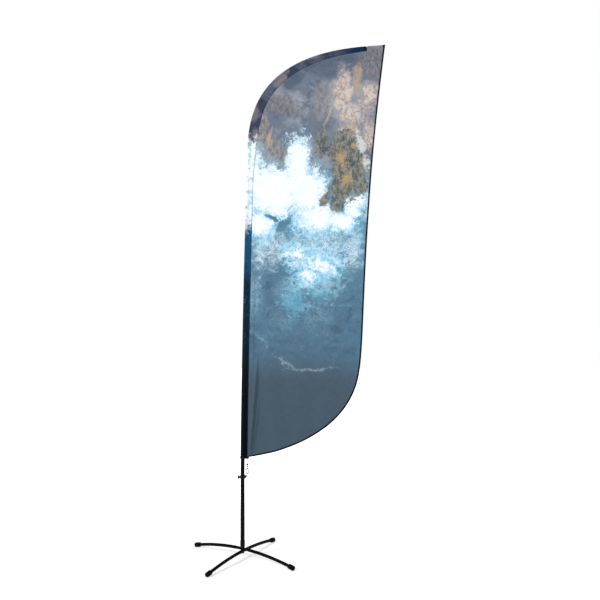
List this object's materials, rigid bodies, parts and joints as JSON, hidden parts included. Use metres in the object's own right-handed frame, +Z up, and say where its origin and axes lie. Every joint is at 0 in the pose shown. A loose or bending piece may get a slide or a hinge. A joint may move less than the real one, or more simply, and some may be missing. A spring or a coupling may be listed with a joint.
{
  "type": "feather flag with pole",
  "caption": "Feather-shaped printed flag on a bowed plug-in pole that turns on the spindle of a folding cross base with arched arms.",
  "frame": {"origin": "on the floor, below the middle of the overall length and width", "axes": "+Z up along the pole, +X from the pole towards the flag's free edge, +Y to the back"},
  "size_m": [1.1813, 0.7088, 3.099],
  "materials": {
    "arm_paint": "black powder coat",
    "cap_rubber": "matte black",
    "black_plastic": "satin moulded",
    "white_nylon": "satin",
    "zinc_steel": "zinc plated",
    "pole_alloy": "black anodised",
    "fibreglass": "satin black",
    "printed_cloth": "printed knitted polyester",
    "dark_cloth": "dark sewn polyester",
    "black_cord": "braided elastic"
  },
  "bodies": {
    "base": {"lower_arm": "arm_paint", "foot_cap_back_right": "cap_rubber", "foot_cap_front_left": "cap_rubber", "arm_spacer": "white_nylon", "spindle": "zinc_steel", "clamp_washer": "zinc_steel", "lock_nut": "zinc_steel", "thrust_washer": "white_nylon", "retaining_clip": "zinc_steel"},
    "folding_arm": {"upper_arm": "arm_paint", "foot_cap_back_left": "cap_rubber", "foot_cap_front_right": "cap_rubber"},
    "rotor": {"rotor_tube": "zinc_steel", "bush_lower": "white_nylon", "bush_upper": "white_nylon"},
    "mast": {"pole_foot_ring": "black_plastic", "pole_bottom": "pole_alloy", "pole_middle": "pole_alloy", "pole_upper": "fibreglass", "pole_tip": "fibreglass", "ferrule_lower": "zinc_steel", "ferrule_middle": "zinc_steel", "ferrule_upper": "zinc_steel", "tip_cap": "black_plastic", "flag_panel": "printed_cloth", "pole_sleeve": "dark_cloth", "sleeve_cuff": "dark_cloth", "edge_hem": "dark_cloth", "tip_pocket": "dark_cloth", "elastic_cord": "black_cord"},
    "collar": {"tension_collar": "black_plastic", "lug_ring": "zinc_steel", "snap_hook": "zinc_steel", "gate_pin": "zinc_steel", "cord_crimp": "zinc_steel"},
    "thumb_screw": {"knob": "black_plastic", "knob_shank": "zinc_steel"},
    "gate": {"hook_gate": "zinc_steel"}
  },
  "joints": [
    {"name": "arm_fold", "type": "hinge", "parent": "base", "child": "folding_arm", "pos_m": [-0.27006, 0, 0.0586], "axis": [0, 0, 1], "range_deg": [-64, 84]},
    {"name": "flag_spin", "type": "hinge", "parent": "base", "child": "rotor", "pos_m": [-0.27006, 0, 0.16], "axis": [0, 0, 1], "continuous": true},
    {"name": "mast_lift", "type": "slide", "parent": "rotor", "child": "mast", "axis": [0, 0, 1], "range_m": [0, 0.18]},
    {"name": "collar_slide", "type": "slide", "parent": "mast", "child": "collar", "axis": [0, 0, 1], "range_m": [-0.05, 0.03], "deforming": ["elastic_cord"]},
    {"name": "knob_turn", "type": "hinge", "parent": "collar", "child": "thumb_screw", "pos_m": [-0.27006, 0, 0.4905], "axis": [-1, 0, 0], "range_deg": [0, 540]},
    {"name": "gate_swing", "type": "hinge", "parent": "collar", "child": "gate", "pos_m": [-0.24486, 0, 0.5398], "axis": [0, -1, 0], "range_deg": [0, 24], "stiffness_Nm_per_rad": 0.01, "springref_deg": -17.19}
  ]
}
